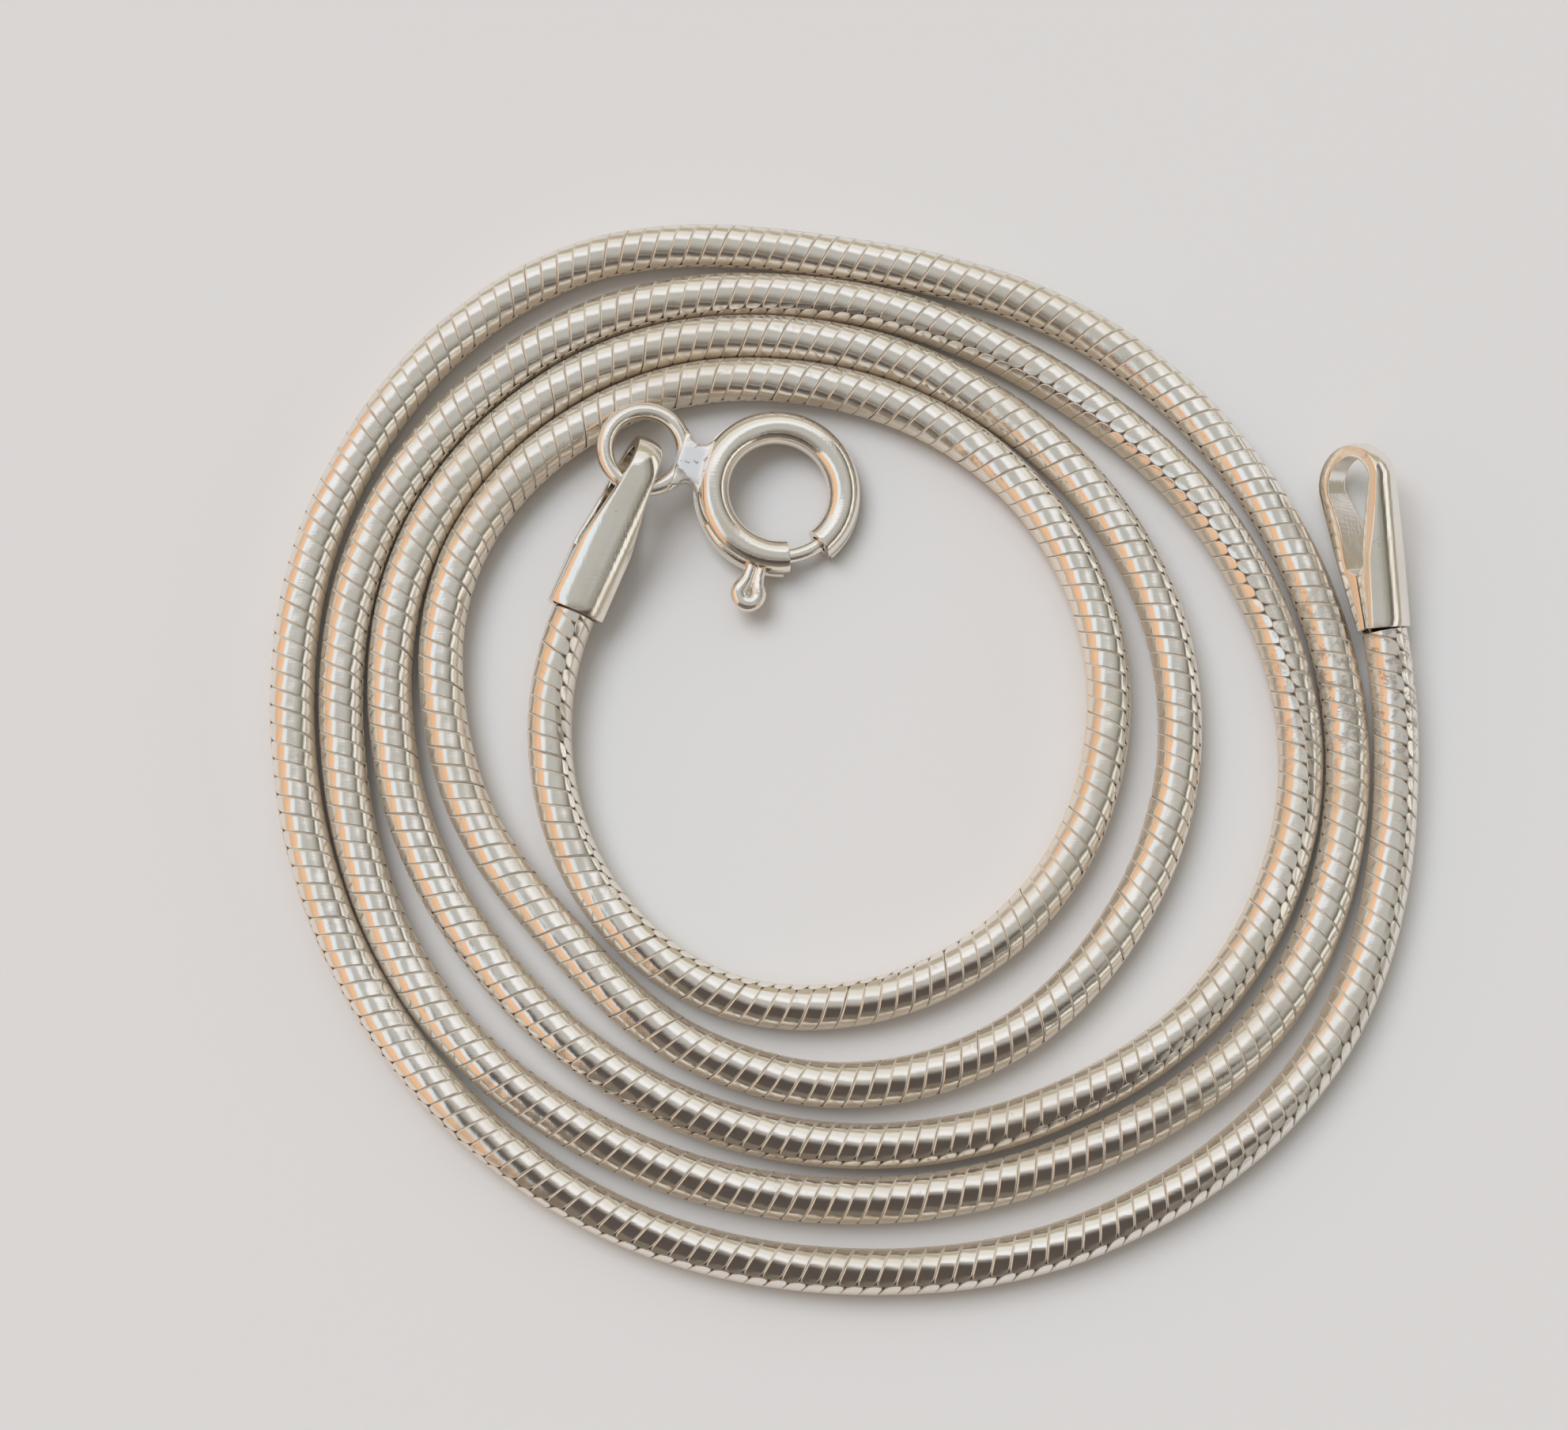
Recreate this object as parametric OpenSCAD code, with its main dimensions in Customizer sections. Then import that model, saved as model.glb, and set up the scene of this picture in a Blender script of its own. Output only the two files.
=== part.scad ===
// Snake chain necklace, lying unclasped in a flat coil of a little over four and a half turns.
// Millimetres, Z up. The origin is on the surface, under the middle of the coil's outline.

/* [Chain] */
// Diameter of the chain
chain_d = 1.9; // [1.5:0.05:1.9]
// Diameter of the chain's core inside an end cap
core_d = 1.1; // [0.8:0.05:1.2]
// Length of the chain's core inside an end cap
core_len = 1.8; // [1.2:0.1:2.2]

/* [End caps] */
// Length of an end cap, from its mouth to its fold
cap_len = 8.3; // [7.5:0.1:10]
// Thickness of the folded strap
strap_t = 0.6; // [0.4:0.05:0.7]
// Outside diameter of the loop at the fold
loop_d = 3.6; // [3.2:0.1:4.2]
// Width of the strap at the mouth
mouth_w = 2.46; // [2.2:0.02:2.8]
// Width of the strap at the fold
fold_w = 1.1; // [0.9:0.05:1.4]
// Thickness of the closed sleeve at the mouth, over its rounded faces
mouth_t = 1.86; // [1.7:0.02:2.1]
// Length of the closed sleeve
sleeve_len = 2.45; // [2.3:0.05:3]
// Half of the opening where the two legs leave the sleeve
crotch_h = 0.45; // [0.3:0.05:0.6]
// Radius of the rounded outer faces across the strap
crown_r = 4; // [3:0.1:6]
// Depth of the seam between the two legs, on each side of the sleeve
seam_depth = 0.12; // [0.05:0.01:0.2]

/* [Spring ring] */
// Outside diameter of the ring
ring_d = 7.2; // [6.4:0.1:8]
// Diameter of the tube that the ring is bent from
tube_d = 1.44; // [1.3:0.02:1.7]
// Overhang of the thin edge along the ring's underside
edge_out = 0.12; // [0.05:0.01:0.2]
// Thickness of that edge
edge_t = 0.18; // [0.1:0.02:0.3]
// Outside diameter of the small eye
eye_d = 4.2; // [3.8:0.1:4.6]
// Thickness of the eye's wire
eye_wire = 0.76; // [0.6:0.02:0.86]
// Space between the ring and the eye, bridged by the soldered neck
neck_len = 0.4; // [0.2:0.05:0.8]
// Thickness of the neck
neck_t = 0.82; // [0.5:0.02:1]
// Radius of the hollow on each side of the neck
neck_r = 0.5; // [0.3:0.05:0.8]
// Angle that the ring's opening takes
gap_sweep = 30; // [24:1:32]

/* [Trigger] */
// Thickness of the bolt that closes the ring
bolt_d = 0.66; // [0.5:0.02:0.7]
// Thickness of the wire that the thumb loop is bent from
knob_wire = 0.52; // [0.4:0.02:0.54]
// Outside diameter of the thumb loop
knob_d = 1.58; // [1.3:0.02:1.8]
// Distance from the ring's outside to the middle of the thumb loop
knob_out = 1.25; // [1.1:0.05:1.6]
// Angle that the trigger turns to open the ring
open_angle = 38; // [32:1:40]

/* [Lie] */
// Slope of the end caps, whose mouths lie lower than their loops
cap_pitch = 4; // [3:0.5:6]
// Roll of the inner end cap from lying on its broad face
inner_roll = 20; // [0:1:40]
// Roll of the outer end cap
outer_roll = 35; // [0:1:40]

/* [Clearances] */
// Gap between an end cap and the surface that it rests on
cap_lift = 0.01; // [0:0.01:0.1]
// Gap between the chain and the mouth of an end cap
mouth_gap = 0.06; // [0.03:0.01:0.15]
// Gap between the chain's core and its bore
core_gap = 0.08; // [0.04:0.01:0.12]
// Gap between the bolt and the ring's bore
bolt_gap = 0.07; // [0.03:0.01:0.1]
// Gap between the thumb loop's wire and its slot
slot_gap = 0.06; // [0.03:0.01:0.1]
// Gap left where the eye rests on the chain
rest_gap = 0.04; // [0.02:0.01:0.1]
// Gap between the spring ring and the strand of chain behind it
ring_gap = 0.3; // [0.1:0.05:0.6]
// Distance of the eye's wire from the middle of the loop that it hangs in
eye_slack = 0.45; // [0.2:0.05:0.6]

/* [Hidden] */
fine = 64;
cut = 0.5;

// The chain's route, as its distance from the middle of the coil. The compass runs from the left of the
// coil through its front, and starts at 300 degrees. A row is one turn, its columns 30 degrees apart.
// The chain starts at the second value. It ends between the last two but one, 14.5 degrees past the first
// of them, and the last two values only guide the curve there.
ROUTE = [
    14.35, 13.55, 12.60, 11.75, 10.95, 10.00,  9.60,  9.90, 10.85, 12.60, 14.80, 17.00,
    19.00, 19.15, 16.70, 14.05, 13.50, 13.35, 13.25, 13.30, 14.10, 15.40, 16.95, 19.05,
    21.05, 21.15, 19.20, 17.05, 16.00, 15.85, 16.60, 18.25, 19.35, 19.45, 19.60, 21.10,
    23.10, 23.15, 21.45, 20.10, 18.60, 18.10, 18.80, 20.60, 21.35, 21.75, 22.40, 23.15,
    25.90, 25.40, 23.55, 22.10, 21.20, 20.95, 21.95, 23.20, 23.40, 24.50, 25.60];
route_from = 300;
route_columns = 12;
route_step = 360 / route_columns;
end_past = 14.5;
chain_from = route_from + route_step;
chain_to = route_from + (len(ROUTE) - 3) * route_step + end_past;

// A ring of the tube every 22.5 degrees, on the same compass lines in every turn
tube_step = 22.5;
tube_from = chain_from + tube_step / 2;
tube_sides = 8;
// The rings lie outside the route as far as the middles of the straights between them lie inside
tube_swell = 2 / (1 + cos(tube_step / 2));

chain_r = chain_d / 2;
core_r = core_d / 2;
core_bore_r = core_r / cos(180 / tube_sides) + core_gap;
core_bore_len = core_len + mouth_gap + core_gap;
loop_r = loop_d / 2;
loop_in_r = loop_r - strap_t;
loop_s = cap_len - loop_r;

tube_r = tube_d / 2;
ring_r = ring_d / 2 - tube_r;
bore_r = bolt_d / 2 + bolt_gap;
eye_r = (eye_d - eye_wire) / 2;
eye_x = ring_d / 2 + neck_len + eye_d / 2;

function route_index(a) = (a - route_from) / route_step;

// Smooth curve through four neighbouring values, f of the way from the second to the third
function blend(a, b, c, d, f) = 0.5 * (2 * b + (c - a) * f
    + (2 * a - 5 * b + 4 * c - d) * f * f
    + (3 * b - a - 3 * c + d) * f * f * f);

function route_radius(a) =
    let (t = route_index(a), i = min(max(floor(t), 1), len(ROUTE) - 3))
    blend(ROUTE[i - 1], ROUTE[i], ROUTE[i + 1], ROUTE[i + 2], t - i);

function route_point(a) = let (r = route_radius(a)) [-r * cos(a), -r * sin(a)];

function unit(v) = v / norm(v);
function heading(v) = atan2(v.y, v.x);
function along(angle) = [cos(angle), sin(angle)];

// Direction in which each cap points away from the chain
end_nudge = 0.5;
inner_dir = heading(route_point(chain_from) - route_point(chain_from + end_nudge));
outer_dir = heading(route_point(chain_to) - route_point(chain_to - end_nudge));

// Front outline of a cap: share of its length from the mouth, share of the way from fold to mouth width
CAP_OUTLINE = [[0, 1], [0.37, 0.88], [0.5, 0.59], [0.65, 0.3], [0.8, 0.1], [1, 0]];
function outline_share(s) = lookup(s, CAP_OUTLINE);

function half_w(s) = (fold_w + (mouth_w - fold_w) * outline_share(s / cap_len)) / 2;

// Point where a line from p to a circle about [loop_s, 0] touches it, on the upper side
function touch(p, r) =
    let (d = [loop_s, 0] - p, a = heading(d) + asin(r / norm(d)))
    [loop_s, 0] + r * along(a + 90);

// Flanks and rounded faces run a hair inside the loop's circle, so that they cut it and don't only touch it
flank_trim = 0.01;
crown_trim = 0.03;
crown_slope = heading(touch([0, mouth_t / 2], loop_r - crown_trim) - [0, mouth_t / 2]);
function crown_h(s) = s < loop_s
    ? min(mouth_t / 2 + s * tan(crown_slope), loop_r)
    : sqrt(pow(loop_r, 2) - pow(s - loop_s, 2));
function edge_h(s) = crown_h(s) - crown_r + sqrt(pow(crown_r, 2) - pow(half_w(s), 2));

// A rolled cap rests on the edge of its strap, and its mouth lies as high as the lowest edge point allows
function mouth_z(roll) = cap_lift + max([for (s = [0 : 0.1 : cap_len])
    edge_h(s) * cos(roll) + half_w(s) * sin(roll) - s * sin(cap_pitch)]);
inner_z = mouth_z(inner_roll);
outer_z = mouth_z(outer_roll);

// The chain lifts off the surface in an even bend that ends at the slope of the cap
function lift_len(end_z) = 2 * (end_z - chain_r) / tan(cap_pitch);
function lift(end_z, d) =
    let (share = max(0, 1 - d / lift_len(end_z)))
    (end_z - chain_r) * share * share;
function arc_from(a, b) = abs(a - b) * PI / 180 * (route_radius(a) + route_radius(b)) / 2;
function chain_z(a) = chain_r
    + lift(inner_z, min(arc_from(chain_from, a), lift_len(inner_z)))
    + lift(outer_z, min(arc_from(chain_to, a), lift_len(outer_z)));

// Point of the tube's middle line on one compass line
function ring_place(i) = tube_swell * route_point(tube_from + i * tube_step);
function tube_point(a) =
    let (t = (a - tube_from) / tube_step, i = floor(t))
    ring_place(i) * (1 - t + i) + ring_place(i + 1) * (t - i);

// The eye hangs in the inner cap's loop, in line with the cap, and rests on the strand behind it
inner_mouth = route_point(chain_from);
outer_mouth = route_point(chain_to);
eye_place = inner_mouth + (loop_s - eye_slack + eye_r) * along(inner_dir);
rest_turn = chain_from + 360;
STRAND = [for (a = [rest_turn - 90 : 1 : rest_turn]) tube_point(a) - eye_place];
strand_r = chain_r / cos(180 / tube_sides);

// The clasp swings about its eye, as seen from above, until its ring lies close to that strand
swing_from = 170;
swing_step = 0.5;
function ring_clears(angle) = min([for (p = STRAND) norm(p + eye_x * along(angle))])
    >= ring_d / 2 + edge_out + ring_gap + strand_r;
clasp_dir = max([for (a = [swing_from - 90 : swing_step : swing_from]) if (ring_clears(a)) a]);

// It tilts about the ring's far side until the eye clears the strand
rest_reach = strand_r + rest_gap + eye_wire / 2;
function rest_rise(p) = chain_r + sqrt(pow(rest_reach, 2) - pow(norm(p) - eye_r, 2)) - tube_r;
function rest_run(p) = ring_r + eye_x + eye_r * cos(heading(p) - clasp_dir);
clasp_tilt = asin(max([for (p = STRAND) if (abs(norm(p) - eye_r) < rest_reach)
    rest_rise(p) / rest_run(p)]));
clasp_z = tube_r + ring_r * sin(clasp_tilt);
clasp_place = eye_place - eye_x * cos(clasp_tilt) * along(clasp_dir);

// Angles round the ring, from the line to its eye
knob_at = 90;
bolt_tail = 30;
bolt_nose = 24;
bolt_overlap = 6;
end_room = 2;
bolt_from = knob_at - bolt_tail;
gap_at = knob_at + bolt_nose;
bolt_to = gap_at + gap_sweep + bolt_overlap;
hollow_from = bolt_from - open_angle - end_room;
socket_to = bolt_to + end_room;
// The two legs of the thumb loop lie side by side with a hairline between them
leg_slit = 0.02;
leg_y = (knob_wire + leg_slit) / 2;
slot_half_w = leg_y + knob_wire / 2 + slot_gap;
slot_half_angle = asin(slot_half_w / (ring_r + bore_r));
knob_x = ring_d / 2 + knob_out;
knob_r = (knob_d - knob_wire) / 2;

// Hollows beside the neck, tangent to the ring's outside and to the eye's
side_a = ring_d / 2 + neck_r;
side_b = eye_d / 2 + neck_r;
hollow_x = (side_a * side_a - side_b * side_b + eye_x * eye_x) / (2 * eye_x);
hollow_y = sqrt(side_a * side_a - hollow_x * hollow_x);

// Place of the coil's middle, from the outline of its last turn and the outer cap that stands past it
last_ring = floor((chain_to - tube_from) / tube_step);
PLAN = [for (i = [last_ring - 360 / tube_step : last_ring]) ring_place(i)];
outer_loop = outer_mouth + loop_s * along(outer_dir);
coil_left = min([for (p = PLAN) p.x]) - chain_r;
coil_right = max(max([for (p = PLAN) p.x]) + chain_r, outer_loop.x + loop_r * sin(outer_roll));
coil_front = min([for (p = PLAN) p.y]) - chain_r;
coil_back = max([for (p = PLAN) p.y]) + chain_r;
COIL = [-(coil_left + coil_right) / 2, -(coil_front + coil_back) / 2, 0];

// Rings of the tube: place, direction of the chain and distance from its middle to a flat
function flat_tangent(a) = unit(route_point(a + end_nudge) - route_point(a - end_nudge));
function level(v) = [v.x, v.y, 0];
function tube_ring(i) =
    let (p = ring_place(i), a = tube_from + i * tube_step)
    [[p.x, p.y, chain_z(a)], level(flat_tangent(a)), chain_r];
function sloped(angle) = [cos(angle) * cos(cap_pitch), sin(angle) * cos(cap_pitch), sin(cap_pitch)];
function at_mouth(mouth, z, angle, s) = [mouth.x, mouth.y, z] + s * sloped(angle);
function end_rings(mouth, z, angle, turn) = [
    [at_mouth(mouth, z, angle, core_len), turn * sloped(angle), core_r],
    [at_mouth(mouth, z, angle, -mouth_gap), turn * sloped(angle), core_r],
    [at_mouth(mouth, z, angle, -mouth_gap), turn * sloped(angle), chain_r]];
function reversed(v) = [for (i = [len(v) - 1 : -1 : 0]) v[i]];
RINGS = concat(
    end_rings(inner_mouth, inner_z, inner_dir, -1),
    [for (i = [0 : last_ring]) tube_ring(i)],
    reversed(end_rings(outer_mouth, outer_z, outer_dir, 1)));

function ring_points(ring) =
    let (
        side = unit(cross([0, 0, 1], ring[1])),
        up = cross(ring[1], side),
        r = ring[2] / cos(180 / tube_sides))
    [for (j = [0 : tube_sides - 1])
        let (f = (j + 0.5) * 360 / tube_sides)
        ring[0] + r * (cos(f) * side + sin(f) * up)];

// A tube through a list of rings, closed by a face at each end
module sweep(rings) {
    n = tube_sides;
    last = (len(rings) - 1) * n;
    walls = [for (i = [0 : len(rings) - 2], j = [0 : n - 1])
        [i * n + j, (i + 1) * n + j, (i + 1) * n + (j + 1) % n, i * n + (j + 1) % n]];
    polyhedron(
        points = [for (ring = rings) each ring_points(ring)],
        faces = concat([[for (j = [0 : n - 1]) j]], walls, [[for (j = [n - 1 : -1 : 0]) last + j]]));
}

module chain() {
    color("silver")
    translate(COIL)
    sweep(RINGS);
}

// A ring of round wire, or a part of one from one angle to another
module bent_wire(radius, wire_r, from = 0, to = 360) {
    rotate([0, 0, from])
    rotate_extrude(angle = to - from, $fn = fine)
    translate([radius, 0])
    circle(r = wire_r, $fn = fine);
}

// The side view of the cap or of its opening, given a width: a tapered neck that runs into a round
module drop(start, half, r, w) {
    p = touch([start, half], r - flank_trim);
    rotate([90, 0, 0])
    union() {
        linear_extrude(height = w, center = true)
        polygon([[start, half], p, [p.x, -p.y], [start, -half]]);
        translate([loop_s, 0, 0])
        cylinder(r = r, h = w, center = true, $fn = fine);
    }
}

// A long round bar along one outer face, which rounds that face across the strap
module crown_bar(side) {
    translate([0, 0, side * mouth_t / 2])
    rotate([0, -side * crown_slope, 0])
    translate([-cap_len, 0, -side * crown_r])
    rotate([0, 90, 0])
    cylinder(r = crown_r, h = 3 * cap_len, $fn = fine);
}

module cap_outline_2d() {
    edge = [for (row = CAP_OUTLINE) [row[0] * cap_len, half_w(row[0] * cap_len)]];
    polygon(concat(edge, [for (p = reversed(edge)) [p.x, -p.y]]));
}

// One end cap, along +X from its mouth: a strap folded back on itself, closed to a sleeve at the mouth
module end_cap() {
    difference() {
        intersection() {
            drop(0, mouth_t / 2 + crown_trim, loop_r, mouth_w);
            linear_extrude(height = 2 * loop_d, center = true)
            cap_outline_2d();
            crown_bar(1);
            crown_bar(-1);
        }
        drop(sleeve_len, crotch_h, loop_in_r, 2 * mouth_w);
        translate([-cut, 0, 0])
        rotate([0, 90, 0])
        cylinder(r = core_bore_r, h = cut + core_bore_len, $fn = fine);
        for (side = [-1, 1])
            translate([0, side * mouth_w / 2, 0])
            rotate([90, 0, 0])
            linear_extrude(height = 2 * seam_depth, center = true)
            polygon([[-cut, crotch_h / 2], [sleeve_len + cut, crotch_h], [sleeve_len + cut, -crotch_h],
                [-cut, -crotch_h / 2]]);
    }
}

module placed_cap(mouth, z, angle, roll) {
    translate(COIL + [mouth.x, mouth.y, z])
    rotate([0, 0, angle])
    rotate([0, -cap_pitch, 0])
    rotate([roll, 0, 0])
    end_cap();
}

module end_cap_inner() {
    color("silver")
    placed_cap(inner_mouth, inner_z, inner_dir, inner_roll);
}

module end_cap_outer() {
    color("silver")
    placed_cap(outer_mouth, outer_z, outer_dir, outer_roll);
}

// The clasp's own frame has the ring's middle at its origin and the eye along +X
module on_clasp() {
    translate(COIL + [clasp_place.x, clasp_place.y, clasp_z])
    rotate([0, 0, clasp_dir])
    rotate([0, -clasp_tilt, 0])
    children();
}

module neck_2d() {
    difference() {
        polygon([[0, 0], [hollow_x, hollow_y], [eye_x, 0], [hollow_x, -hollow_y]]);
        for (side = [-1, 1])
            translate([hollow_x, side * hollow_y])
            circle(r = neck_r, $fn = fine);
        circle(r = ring_r, $fn = fine);
        translate([eye_x, 0])
        circle(r = eye_r, $fn = fine);
    }
}

// The thin edge that stands out along the underside of the ring
module ring_edge() {
    rotate([0, 0, gap_at + gap_sweep])
    rotate_extrude(angle = 360 - gap_sweep, $fn = fine)
    translate([ring_r, edge_t - tube_r])
    square([tube_r + edge_out, edge_t]);
}

// Cuts that run past the gap's faces, so that bore and socket are open there
module ring_hollows() {
    middle = gap_at + gap_sweep / 2;
    bent_wire(ring_r, bore_r, hollow_from, middle);
    bent_wire(ring_r, bore_r, middle, socket_to);
    rotate([0, 0, knob_at - open_angle - slot_half_angle])
    rotate_extrude(angle = open_angle + 2 * slot_half_angle, $fn = fine)
    translate([ring_r, -knob_wire / 2 - slot_gap])
    square([ring_d / 2, knob_wire + 2 * slot_gap]);
}

module spring_ring() {
    color("silver")
    on_clasp()
    difference() {
        union() {
            bent_wire(ring_r, tube_r, gap_at + gap_sweep, gap_at + 360);
            ring_edge();
            translate([eye_x, 0, 0])
            bent_wire(eye_r, eye_wire / 2);
            linear_extrude(height = neck_t, center = true)
            neck_2d();
        }
        ring_hollows();
    }
}

// The bolt inside the ring's tube, with the loop of wire that the thumb pushes
module clasp_trigger() {
    color("silver")
    on_clasp()
    union() {
        bent_wire(ring_r, bolt_d / 2, bolt_from, bolt_to);
        rotate([0, 0, knob_at]) {
            for (side = [-1, 1])
                translate([ring_r, side * leg_y, 0])
                rotate([0, 90, 0])
                cylinder(d = knob_wire, h = knob_x - ring_r - knob_r, $fn = fine);
            translate([knob_x, 0, 0])
            bent_wire(knob_r, knob_wire / 2);
        }
    }
}

chain();
end_cap_inner();
end_cap_outer();
spring_ring();
clasp_trigger();
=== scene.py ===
# %% [markdown]
# # A snake chain necklace, unclasped and coiled
# The necklace is a round chain of small curved plates, with an end cap on each end and a spring ring
# clasp. The imported CAD model is loaded first, because it fixes every size and place, and the pieces
# made here are dressed over it.

# %% Load the frame
import bpy
import bmesh
import random
from math import atan2, ceil, cos, degrees, hypot, pi, radians, sin, sqrt, tan
from mathutils import Matrix, Vector


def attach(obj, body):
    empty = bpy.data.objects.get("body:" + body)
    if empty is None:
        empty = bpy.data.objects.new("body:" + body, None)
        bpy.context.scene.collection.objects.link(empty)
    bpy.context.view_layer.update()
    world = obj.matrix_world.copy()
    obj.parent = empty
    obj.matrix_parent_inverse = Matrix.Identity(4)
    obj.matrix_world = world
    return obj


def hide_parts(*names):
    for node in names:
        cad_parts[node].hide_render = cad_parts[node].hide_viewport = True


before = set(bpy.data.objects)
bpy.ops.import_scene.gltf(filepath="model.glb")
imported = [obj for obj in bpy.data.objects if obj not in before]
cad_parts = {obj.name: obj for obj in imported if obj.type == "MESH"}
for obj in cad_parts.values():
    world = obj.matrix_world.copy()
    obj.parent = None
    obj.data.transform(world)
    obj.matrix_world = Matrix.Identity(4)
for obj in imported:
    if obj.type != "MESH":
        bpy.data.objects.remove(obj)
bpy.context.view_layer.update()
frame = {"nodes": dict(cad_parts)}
print("nodes:", ", ".join(frame["nodes"]))

# %% [markdown]
# ## Units
# Jewellery is measured in millimetres and Blender works in metres. Every piece below is modelled in
# millimetres, which keeps its numbers easy to read, and is scaled down when it is put in its place.
# The chain's radius and the middle of the coil are those of the CAD model, and so are the sizes of
# the caps and the clasp further on.

# %% Units and the chain's thickness
MM = 0.001
CHAIN_R = 0.95
COIL = Vector((0.0141089, -1.21247, 0))
print("chain", 2 * CHAIN_R, "mm thick")

# %% [markdown]
# ## The camera
# The photograph was taken from nearly straight above, tipped 12 degrees towards the front of the
# necklace. The lens gives the same width of view, 32.6 degrees. A camera looks along its own -Z axis,
# so it is turned until that axis runs from its place to the spot that it looks at.

# %% Camera
CAMERA_AT = Vector((-0.002686, -0.02272, 0.11344))
LOOKS_AT = Vector((-0.002686, 0.0011875, 0.00095))
LENS_MM = 61.59
NEAREST = 0.005

bpy.ops.object.camera_add(location=CAMERA_AT)
camera = bpy.context.object
camera.name = "camera"
camera.rotation_euler = (LOOKS_AT - CAMERA_AT).to_track_quat("-Z", "Y").to_euler()
camera.data.lens = LENS_MM
camera.data.clip_start = NEAREST
bpy.context.scene.camera = camera
print("camera lens", round(camera.data.lens, 2), "mm")

# %% [markdown]
# ## Selecting
# An operator acts on whatever is selected, and loading the frame leaves its pieces selected. So each
# step deselects everything and then selects what it needs: whole objects, or the vertices, edges or
# faces whose middle passes a test. A test on places goes on working when a size changes, where a list
# of vertex numbers would not.

# %% Select objects and parts of a mesh
def only(*objects):
    """Object mode, with just these objects selected and the first one active."""
    if bpy.context.object and bpy.context.object.mode != "OBJECT":
        bpy.ops.object.mode_set(mode="OBJECT")
    bpy.ops.object.select_all(action="DESELECT")
    for obj in objects:
        obj.select_set(True)
    bpy.context.view_layer.objects.active = objects[0]


def select(obj, kind, test):
    """Edit mode on obj, with the elements selected whose middle passes the test."""
    only(obj)
    bpy.ops.object.mode_set(mode="EDIT")
    bpy.ops.mesh.select_mode(type=kind)
    bpy.ops.mesh.select_all(action="DESELECT")
    mesh = bmesh.from_edit_mesh(obj.data)
    if kind == "VERT":
        middles = [(v, v.co) for v in mesh.verts]
    elif kind == "EDGE":
        middles = [(e, (e.verts[0].co + e.verts[1].co) / 2) for e in mesh.edges]
    else:
        middles = [(f, f.calc_center_median()) for f in mesh.faces]
    for element, middle in middles:
        element.select_set(bool(test(middle, element)))
    mesh.select_flush_mode()
    bmesh.update_edit_mesh(obj.data)


def everything(middle, element):
    return True


def rim(middle, edge):
    return edge.is_boundary


print("objects and elements can be selected")

# %% [markdown]
# ## Shaping
# These steps come back in nearly every piece. A modifier is added, set and applied at once, so that
# the piece is a plain mesh again and the next operator can go on from it. Doubles are merged before
# the faces are turned outwards, because faces that share no vertex can't agree on which way is out.

# %% Modify, soften, cut and join
DOUBLES = 0.0005


def modify(obj, kind, **settings):
    """Adds a modifier with these settings and applies it."""
    only(obj)
    modifier = obj.modifiers.new(kind.lower(), kind)
    for name, value in settings.items():
        setattr(modifier, name, value)
    bpy.ops.object.modifier_apply(modifier=modifier.name)


def soften(obj, width, segments=2, sharper_than=50):
    """Bevels the edges that are sharper than this angle in degrees."""
    modify(obj, "BEVEL", width=width, segments=segments, limit_method="ANGLE",
           angle_limit=radians(sharper_than))


def throw_away(obj):
    only(obj)
    bpy.ops.object.delete()


def cut(obj, tool):
    """Cuts the tool's shape out of obj and throws the tool away."""
    modify(obj, "BOOLEAN", operation="DIFFERENCE", solver="EXACT", object=tool)
    throw_away(tool)


def join(*objects):
    only(*objects)
    bpy.ops.object.join()
    return bpy.context.object


def face_outwards(obj):
    select(obj, "VERT", everything)
    bpy.ops.mesh.remove_doubles(threshold=DOUBLES)
    bpy.ops.mesh.normals_make_consistent(inside=False)


def smooth(obj, angle=35):
    """Turns the faces outwards, and shades all smooth but the edges sharper than this angle."""
    face_outwards(obj)
    only(obj)
    bpy.ops.object.shade_smooth_by_angle(angle=radians(angle))


print("doubles closer than", DOUBLES, "mm are merged")

# %% [markdown]
# ## Placing
# A pattern in a material follows the object's own coordinates, so the object of a finished piece sits
# at the origin, unturned and unscaled, and its place is in its mesh. Applying the object's transform
# does that. A copy gets a mesh of its own, so that it can be placed by itself.

# %% Place and copy
def apply_transform(obj):
    only(obj)
    bpy.ops.object.transform_apply(location=True, rotation=True, scale=True)


def put_in_place(obj, matrix):
    """Puts a piece modelled in millimetres in its place in metres, in its mesh."""
    obj.matrix_world = Matrix.Scale(MM, 4) @ matrix @ obj.matrix_world
    apply_transform(obj)


def copy_of(obj, matrix):
    twin = obj.copy()
    twin.data = obj.data.copy()
    bpy.context.collection.objects.link(twin)
    twin.matrix_world = matrix @ obj.matrix_world
    apply_transform(twin)
    return twin


print("pieces are placed at", MM, "of their modelled size")

# %% [markdown]
# ## The route of the chain
# Seen from above, the coil is given by the distance of the chain from its middle, every 30 degrees.
# These are the points that the CAD model uses, and the same smooth curve runs through them here: a
# cubic from each point to the next, whose direction at a point follows from the points beside it.
# At each end the chain lifts off the floor in an even bend, because the cap that it enters is thicker
# than the chain.

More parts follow.
